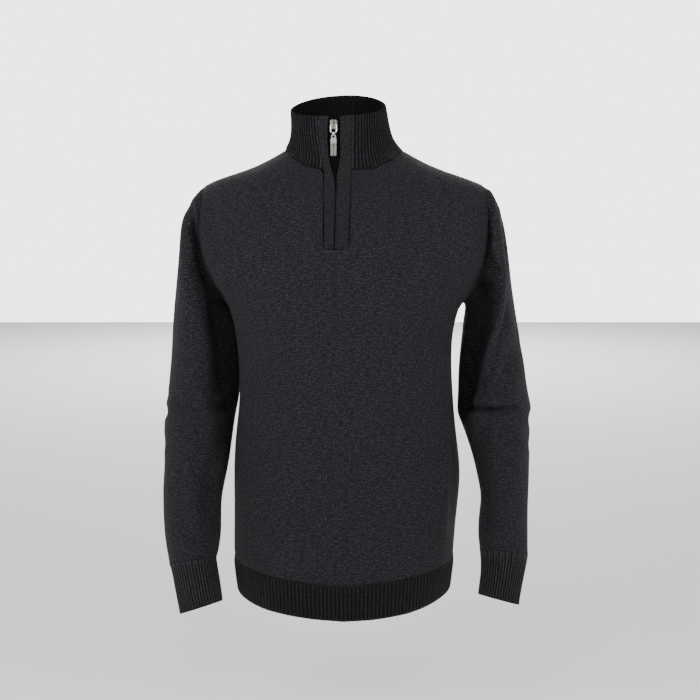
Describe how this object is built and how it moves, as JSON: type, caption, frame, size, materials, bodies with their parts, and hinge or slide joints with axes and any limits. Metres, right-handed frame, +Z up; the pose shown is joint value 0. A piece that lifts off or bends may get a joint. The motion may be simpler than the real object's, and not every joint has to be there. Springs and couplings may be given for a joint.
{
  "type": "quarter-zip pullover sweater",
  "caption": "Dark charcoal fine-knit quarter-zip pullover with ribbed stand collar, cuffs and hem, in its hollow worn form, zip closed, metal pull tab hanging.",
  "frame": {"origin": "middle of the neck base, level with the points where the shoulder seams meet the collar", "axes": "+Z up the wearer's height, -Y towards the front of the garment, +X to the viewer's right when the front is looked at"},
  "size_m": [0.5511, 0.248, 0.7669],
  "materials": {
    "knit": "dry matt marl knit",
    "rib": "dry matt ribbed knit",
    "band": "dry matt knit with fine cross ribs",
    "tape": "matt black woven tape",
    "slider": "satin",
    "pull": "brushed"
  },
  "bodies": {
    "garment": {"front": "knit", "back": "knit", "sleeve_left": "knit", "sleeve_right": "knit", "hem_front": "rib", "hem_back": "rib", "collar": "rib", "cuff_left": "rib", "cuff_right": "rib", "placket_left": "band", "placket_right": "band", "zip_tape_left": "tape", "zip_tape_right": "tape", "zip_slider": "slider"},
    "link": {"zip_link": "pull"},
    "tab": {"zip_tab": "pull"}
  },
  "joints": [
    {"name": "link_swing", "type": "hinge", "parent": "garment", "child": "link", "pos_m": [-0.0142, -0.0759, 0.0269], "axis": [-1, 0, 0], "range_deg": [0, 120]},
    {"name": "tab_swing", "type": "hinge", "parent": "link", "child": "tab", "pos_m": [-0.0142, -0.0759, 0.0145], "axis": [-1, 0, 0], "range_deg": [0, 60]}
  ]
}
